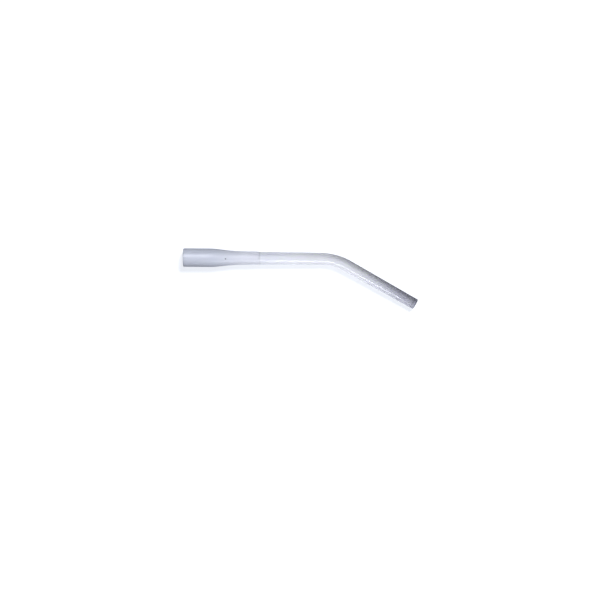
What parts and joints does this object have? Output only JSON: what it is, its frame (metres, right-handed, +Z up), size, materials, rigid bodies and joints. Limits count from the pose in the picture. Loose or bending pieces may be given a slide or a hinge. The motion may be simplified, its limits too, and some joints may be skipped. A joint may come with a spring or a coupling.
{
  "type": "saliva ejector tip",
  "caption": "Bendable dental suction tip: a tapered plastic tube with a wire in its wall, a wide connector for the valve and a rounded inlet ring.",
  "frame": {"origin": "centre of the connector's open mouth", "axes": "+X along the connector and the shank towards the tip, the neck bends the tip towards -Y in the XY plane, +Z up as the part lies on its side"},
  "size_m": [0.1404, 0.0349, 0.011],
  "materials": {
    "connector_plastic": "semi-gloss, slightly translucent",
    "tube_vinyl": "satin, slightly translucent",
    "cap_plastic": "semi-gloss, slightly translucent",
    "wire_steel": "drawn"
  },
  "bodies": {
    "shank": {"connector_hub": "connector_plastic", "tube_shank": "tube_vinyl", "tube_elbow": "tube_vinyl", "wire_shank": "wire_steel", "wire_elbow": "wire_steel"},
    "tip": {"tube_tip": "tube_vinyl", "wire_tip": "wire_steel", "tip_cap": "cap_plastic"}
  },
  "joints": [
    {"name": "neck_bend", "type": "hinge", "parent": "shank", "child": "tip", "pos_m": [0.09041, -0.00102, 0], "axis": [0, 0, -1], "range_deg": [-29, 46], "deforming": ["tube_elbow", "wire_elbow"]}
  ]
}
